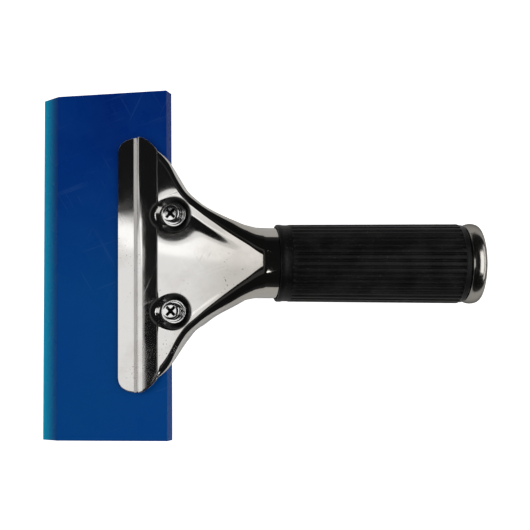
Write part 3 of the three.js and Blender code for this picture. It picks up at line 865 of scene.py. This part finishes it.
def use_group(tree, group, **values):
    """Places a node group in a material with its own values; returns its outputs."""
    made = tree.nodes.new("ShaderNodeGroup")
    made.node_tree = group
    for title, value in values.items():
        made.inputs[title].default_value = value
    return made.outputs


def handling_marks():
    """
    Marks of use on a hard surface: Scratches are thin stretched-noise lines in three directions, Smudges are
    soft blotches, Pits are small specks, and Height is scratches and pits cut in for a bump.
    """
    tree, entry, leave = new_group(
        "handling_marks", {"Scratching": 0.5, "Smudging": 0.5, "Pitting": 0.5},
        ["Scratches", "Smudges", "Pits", "Height"],
    )
    spot = object_spot(tree)
    lines = 0.0
    for turn in (0.5, 1.9, 2.7):
        streak = noise(tree, spot, 900, 1.0, 0.4, (1, 30, 30), (0, 0, turn))
        lines = math_node(tree, "MAXIMUM", lines, map_range(tree, streak, 0.68, 0.71))
    patches = map_range(tree, noise(tree, spot, 45, 2.0), 0.46, 0.6)
    lines = math_node(tree, "MULTIPLY", lines, patches)
    scratches = math_node(tree, "MULTIPLY", lines, entry["Scratching"])
    cloud = map_range(tree, noise(tree, spot, 70, 4.0, 0.62), 0.42, 0.68)
    smudges = math_node(tree, "MULTIPLY", cloud, entry["Smudging"])
    speck = map_range(tree, noise(tree, spot, 1500, 1.0, 0.4), 0.7, 0.745)
    speck = math_node(tree, "MULTIPLY", speck, map_range(tree, noise(tree, spot, 60, 2.0), 0.5, 0.62))
    pits = math_node(tree, "MULTIPLY", speck, entry["Pitting"])
    height = weighted_sum(tree, 0.0, (scratches, -1.0), (pits, -1.0))
    for value, title in ((scratches, "Scratches"), (smudges, "Smudges"), (pits, "Pits"), (height, "Height")):
        tree.links.new(value, leave[title])
    return tree


def surface_wave():
    """Slow unevenness of a pressed or cast surface: Wave is broad noise, Grain is fine noise, both 0 to 1."""
    tree, entry, leave = new_group("surface_wave", {"Breadth": 60.0, "Fineness": 2500.0}, ["Wave", "Grain"])
    spot = object_spot(tree)
    for title, amount, detail in (("Wave", "Breadth", 1.0), ("Grain", "Fineness", 2.0)):
        made = node(tree, "ShaderNodeTexNoise", Detail=detail, Roughness=0.5)
        tree.links.new(spot, made.inputs["Vector"])
        tree.links.new(entry[amount], made.inputs["Scale"])
        tree.links.new(made.outputs["Fac"], leave[title])
    return tree


def settled_dust():
    """Pale dust: fine noise cut to small dots, over a thin film where broad noise is high."""
    tree, entry, leave = new_group("settled_dust", {"Amount": 0.3}, ["Dust"])
    spot = object_spot(tree)
    dots = map_range(tree, noise(tree, spot, 1900, 1.0, 0.4), 0.66, 0.74)
    film = map_range(tree, noise(tree, spot, 120, 3.0), 0.4, 0.7)
    dust = weighted_sum(tree, dots, (film, 0.25))
    tree.links.new(math_node(tree, "MULTIPLY", dust, entry["Amount"]), leave["Dust"])
    return tree


MARKS = handling_marks()
WAVE = surface_wave()
DUST = settled_dust()

BRIGHT_STEEL = (0.80, 0.785, 0.765, 1)
DULL_STEEL = (0.72, 0.695, 0.665, 1)


def polished_steel(name="polished_steel", bright=BRIGHT_STEEL, dull=DULL_STEEL, sheen=0.05, edge=1.0):
    """Polished steel: slow press waves, scratches, smudges and pits, warmer by the neck, painted shade in the
    seats and along the bead's step.
    """
    material, tree, shader = new_material(name)
    marks = use_group(tree, MARKS, Scratching=0.5, Smudging=0.9, Pitting=0.9)
    wave = use_group(tree, WAVE, Breadth=55.0, Fineness=3000.0)
    painted_shade = node(tree, "ShaderNodeAttribute", attribute_name="painted_shade").outputs["Fac"]
    neck = map_range(tree, blade_distance(tree), 0.056, 0.076, 0.0, 0.75)
    colour = mix_colour(tree, marks["Smudges"], bright, dull)
    colour = mix_colour(tree, neck, colour, (0.53, 0.50, 0.455, 1))
    # Painted shade: near-black where the shade attribute is high.
    colour = mix_colour(tree, weighted_sum(tree, 0.0, (painted_shade, 0.93)), colour, (0.02, 0.02, 0.021, 1))
    colour = mix_colour(tree, marks["Pits"], colour, (0.16, 0.15, 0.14, 1))
    rough = weighted_sum(tree, sheen, (marks["Smudges"], 0.035), (marks["Scratches"], 0.12), (painted_shade, 0.3))
    height = weighted_sum(tree, 0.0, (wave["Wave"], 6.0), (marks["Height"], 1.0), (wave["Grain"], 0.02))
    dress(tree, shader, colour, rough, height, 2.5e-6)
    shader.inputs["Metallic"].default_value = 1.0
    shader.inputs["Specular Tint"].default_value = (edge, edge, edge, 1)
    return material


def plated_steel():
    """Zinc-plated hardware: semi-bright, with a fine grain, dull patches and small dark marks."""
    material, tree, shader = new_material("plated_steel")
    marks = use_group(tree, MARKS, Scratching=0.3, Smudging=1.0, Pitting=0.4)
    wave = use_group(tree, WAVE, Breadth=400.0, Fineness=4500.0)
    dull = mix_colour(tree, wave["Wave"], (0.95, 0.95, 0.945, 1), (0.82, 0.82, 0.81, 1))
    colour = mix_colour(tree, marks["Pits"], dull, (0.12, 0.12, 0.12, 1))
    rough = weighted_sum(tree, 0.1, (wave["Grain"], 0.06))
    height = weighted_sum(tree, 0.0, (wave["Grain"], 2.0), (marks["Height"], 1.0))
    dress(tree, shader, colour, rough, height, 8e-7)
    shader.inputs["Metallic"].default_value = 1.0
    return material


def recess_shade_steel():
    """The screws' recesses: plated steel painted near-black as shade, with paler scuffs from the driver."""
    material, tree, shader = new_material("recess_shade_steel")
    wave = use_group(tree, WAVE, Breadth=900.0, Fineness=5000.0)
    scuff = map_range(tree, wave["Wave"], 0.56, 0.7)
    # Painted shade: near-black, lifted a little where the scuffs are.
    colour = mix_colour(tree, scuff, (0.012, 0.012, 0.012, 1), (0.10, 0.10, 0.10, 1))
    dress(tree, shader, colour, weighted_sum(tree, 0.45, (wave["Grain"], 0.3)), wave["Grain"], 1e-5)
    shader.inputs["Metallic"].default_value = 0.6
    return material


def blade_distance(tree):
    """Distance in metres from the working edge, from Object coordinates turned and shifted onto the blade."""
    shift = node(tree, "ShaderNodeVectorMath", operation="SUBTRACT")
    tree.links.new(object_spot(tree), shift.inputs[0])
    shift.inputs[1].default_value = ORIGIN
    dot = node(tree, "ShaderNodeVectorMath", operation="DOT_PRODUCT")
    tree.links.new(shift.outputs[0], dot.inputs[0])
    dot.inputs[1].default_value = ALONG
    return dot.outputs["Value"]


def blue_urethane():
    """Cast urethane: deep blue that turns teal towards the thin working edge, slightly cloudy and scuffed."""
    material, tree, shader = new_material("blue_urethane")
    marks = use_group(tree, MARKS, Scratching=0.7, Smudging=0.8, Pitting=0.4)
    wave = use_group(tree, WAVE, Breadth=28.0, Fineness=900.0)
    distance = blade_distance(tree)
    side = node(tree, "ShaderNodeSeparateXYZ")
    tree.links.new(object_spot(tree), side.inputs[0])
    end = map_range(tree, side.outputs["Y"], -0.02, 0.05)
    pour = mix_colour(tree, end, (0.0, 0.066, 0.28, 1), (0.0, 0.022, 0.19, 1))
    cloud = map_range(tree, wave["Wave"], 0.35, 0.65, 0.0, 0.35)
    body = mix_colour(tree, cloud, pour, (0.0, 0.055, 0.30, 1))
    thin = map_range(tree, distance, -0.004, 0.0085, 1.0, 0.0)
    bevel = mix_colour(tree, thin, body, (0.0, 0.58, 0.90, 1))
    colour = mix_colour(tree, map_range(tree, distance, 0.0079, 0.0081), bevel, body)
    haze = weighted_sum(tree, 0.0, (marks["Smudges"], 0.12))
    colour = mix_colour(tree, haze, colour, (0.01, 0.08, 0.30, 1))
    scuff = weighted_sum(tree, 0.0, (marks["Scratches"], 0.11))
    colour = mix_colour(tree, scuff, colour, (0.08, 0.18, 0.40, 1))
    rough = weighted_sum(tree, 0.26, (marks["Smudges"], 0.15))
    height = weighted_sum(tree, 0.0, (wave["Wave"], 8.0), (marks["Height"], 1.0), (wave["Grain"], 0.5))
    dress(tree, shader, colour, rough, height, 5e-6)
    shader.inputs["Specular IOR Level"].default_value = 0.04
    shader.inputs["IOR"].default_value = 1.45
    return material


def black_rubber():
    """Moulded rubber: near-black and satin, duller in the grooves and darker there as painted shade, with
    fine grain and a little dust.
    """
    material, tree, shader = new_material("black_rubber")
    wave = use_group(tree, WAVE, Breadth=90.0, Fineness=2600.0)
    dust = use_group(tree, DUST, Amount=0.35)
    groove = node(tree, "ShaderNodeAttribute", attribute_name="groove").outputs["Fac"]
    body = mix_colour(tree, wave["Wave"], (0.0022, 0.0022, 0.0024, 1), (0.0045, 0.0045, 0.0048, 1))
    # Painted shade: a touch darker in the grooves.
    groove_shade = mix_colour(tree, groove, body, (0.002, 0.002, 0.002, 1))
    dusty = mix_colour(tree, dust["Dust"], groove_shade, (0.07, 0.068, 0.066, 1))
    rough = weighted_sum(tree, 0.30, (wave["Grain"], 0.18), (groove, 0.2))
    dress(tree, shader, dusty, rough, wave["Grain"], 1.2e-5)
    shader.inputs["Specular IOR Level"].default_value = 0.15
    return material


def floor_material():
    """Plain pale floor paint, which the camera sees brighter than the steel does."""
    material, tree, shader = new_material("pale_floor")
    shader.inputs["Base Color"].default_value = (0.72, 0.715, 0.70, 1)
    shader.inputs["Roughness"].default_value = 0.9
    shader.inputs["Specular IOR Level"].default_value = 0.0
    shader.inputs["Emission Color"].default_value = (1, 1, 1, 1)
    path = tree.nodes.new("ShaderNodeLightPath")
    seen = math_node(tree, "MULTIPLY", path.outputs["Is Camera Ray"], 0.95)
    tree.links.new(seen, shader.inputs["Emission Strength"])
    return material


# ---- The tool ----
steel = polished_steel()
ring_steel = polished_steel("ring_steel", (0.22, 0.23, 0.24, 1), (0.17, 0.175, 0.18, 1), 0.18, 0.35)
# Near-black painted shade for the screws' recesses.
recess_shade = recess_shade_steel()
plated = plated_steel()
urethane = blue_urethane()
rubber = black_rubber()

# The head carries painted shade in its screw seats and along the bead's step.
head = add_piece("stamped_head", head_mesh(), steel, "root", "head", paint_shade=paint_seat_shade)
soften_edges(head, 0.16)
blade = add_piece("urethane_blade", blade_mesh(), urethane, "blade", "blade", crease=20)
soften_edges(blade, 0.22, 3, 25)
plate = add_piece("lower_clamp_plate", plate_mesh(), steel, "jaw", "clamp_plate")
soften_edges(plate, 0.16)
add_piece("ribbed_grip", grip_mesh(), rubber, "root", "grip", crease=60)
add_piece("bead_ring", ring_mesh(), ring_steel, "root", "end_ring", crease=50)

for hand, side in (("left", 1), ("right", -1)):
    hardware = (
        (f"clamp_screw_{hand}", screw_mesh, f"screw_{hand}", f"screw_{hand}", 35),
        (f"lock_washer_{hand}", spring_washer_mesh, "root", f"spring_washer_{hand}", 35),
        (f"seat_washer_{hand}", flat_washer_mesh, "root", f"flat_washer_{hand}", 35),
        (f"hex_nut_{hand}", nut_mesh, "jaw", f"nut_{hand}", 25),
    )
    for name, make, body, cad_node, crease in hardware:
        piece = add_piece(name, make(name, side), plated, body, cad_node, crease)
        if make is screw_mesh:
            soften_edges(piece, 0.06, 2, 40)


# ---- Floor, light and camera ----
def add_floor():
    """A square of pale floor just under the tool's lowest point."""
    reach, level = 3.0, -0.0004
    mesh = bpy.data.meshes.new("floor")
    corners = [(-reach, -reach), (reach, -reach), (reach, reach), (-reach, reach)]
    mesh.from_pydata([(x, y, level) for x, y in corners], [], [(0, 1, 2, 3)])
    mesh.materials.append(floor_material())
    new_object("floor", mesh)


def softbox(name, azimuth, zenith, distance, width, height, brightness, mirrored=True):
    """
    A rectangular lamp that faces the tool. Azimuth is counted from +X towards +Y, zenith from straight up.
    Width is measured level and height across it; brightness is how bright its face looks.
    """
    lamp = bpy.data.lights.new(name, "AREA")
    lamp.shape = "RECTANGLE"
    lamp.size = width
    lamp.size_y = height
    lamp.energy = brightness * np.pi * width * height
    made = new_object(name, lamp)
    azimuth, zenith = np.radians(azimuth), np.radians(zenith)
    away = np.array([np.sin(zenith) * np.cos(azimuth), np.sin(zenith) * np.sin(azimuth), np.cos(zenith)])
    spot, target = Vector(distance * away), Vector((0, 0, 0.02))
    look = (target - spot).to_track_quat("-Z", "Y").to_matrix().to_4x4()
    made.matrix_world = Matrix.Translation(spot) @ look
    made.visible_glossy = mirrored
    made.visible_camera = False


def add_world():
    """Dim surroundings for reflections, and a pale backdrop where the camera looks past the floor."""
    world = bpy.data.worlds.new("studio")
    bpy.context.scene.world = world
    world.use_nodes = True
    tree = world.node_tree
    tree.nodes.clear()
    dim = node(tree, "ShaderNodeBackground", Color=(0.95, 0.97, 1, 1))
    height = node(tree, "ShaderNodeSeparateXYZ")
    tree.links.new(tree.nodes.new("ShaderNodeTexCoord").outputs["Generated"], height.inputs[0])
    tree.links.new(map_range(tree, height.outputs["Z"], 0.0, 0.35, 0.03, 0.008), dim.inputs["Strength"])
    pale = node(tree, "ShaderNodeBackground", Color=(1, 1, 1, 1), Strength=1.0)
    path = tree.nodes.new("ShaderNodeLightPath")
    mix = tree.nodes.new("ShaderNodeMixShader")
    out = tree.nodes.new("ShaderNodeOutputWorld")
    tree.links.new(path.outputs["Is Camera Ray"], mix.inputs[0])
    tree.links.new(dim.outputs[0], mix.inputs[1])
    tree.links.new(pale.outputs[0], mix.inputs[2])
    tree.links.new(mix.outputs[0], out.inputs[0])


def add_camera():
    """A camera above the tool that looks nearly straight down, with the blade on its left."""
    data = bpy.data.cameras.new("camera")
    data.lens = 84.91
    data.sensor_width = 36.0
    camera = new_object("camera", data)
    right = Vector((0.99825, -0.00887, 0.05854))
    up = Vector((0.0041, 0.99669, 0.08124))
    back = right.cross(up).normalized()
    up = back.cross(right).normalized()
    turn = Matrix((right, up, back)).transposed().to_4x4()
    camera.matrix_world = Matrix.Translation((-0.02578, -0.0372, 0.47071)) @ turn
    bpy.context.scene.camera = camera


add_floor()
add_world()
softbox("blade_side_softbox", 182.9, 54, 0.6, 0.216, 0.60, 0.89)
softbox("blade_side_spill", 169.6, 54, 0.6, 0.020, 0.60, 0.35)
softbox("overhead_glow", 180, 15, 0.9, 0.9, 0.2, 0.04)
softbox("handle_side_softbox", 0, 36, 0.9, 0.95, 0.44, 2.0)
softbox("handle_side_low_softbox", 0, 64, 0.7, 1.0, 0.2, 1.3)
softbox("blade_side_low_softbox", 180, 80, 0.7, 0.9, 0.22, 0.42)
softbox("overhead_fill", 180, 5, 1.3, 1.6, 1.6, 1.2, mirrored=False)
add_camera()
bpy.context.scene.view_settings.view_transform = "Standard"

bpy.context.view_layer.update()
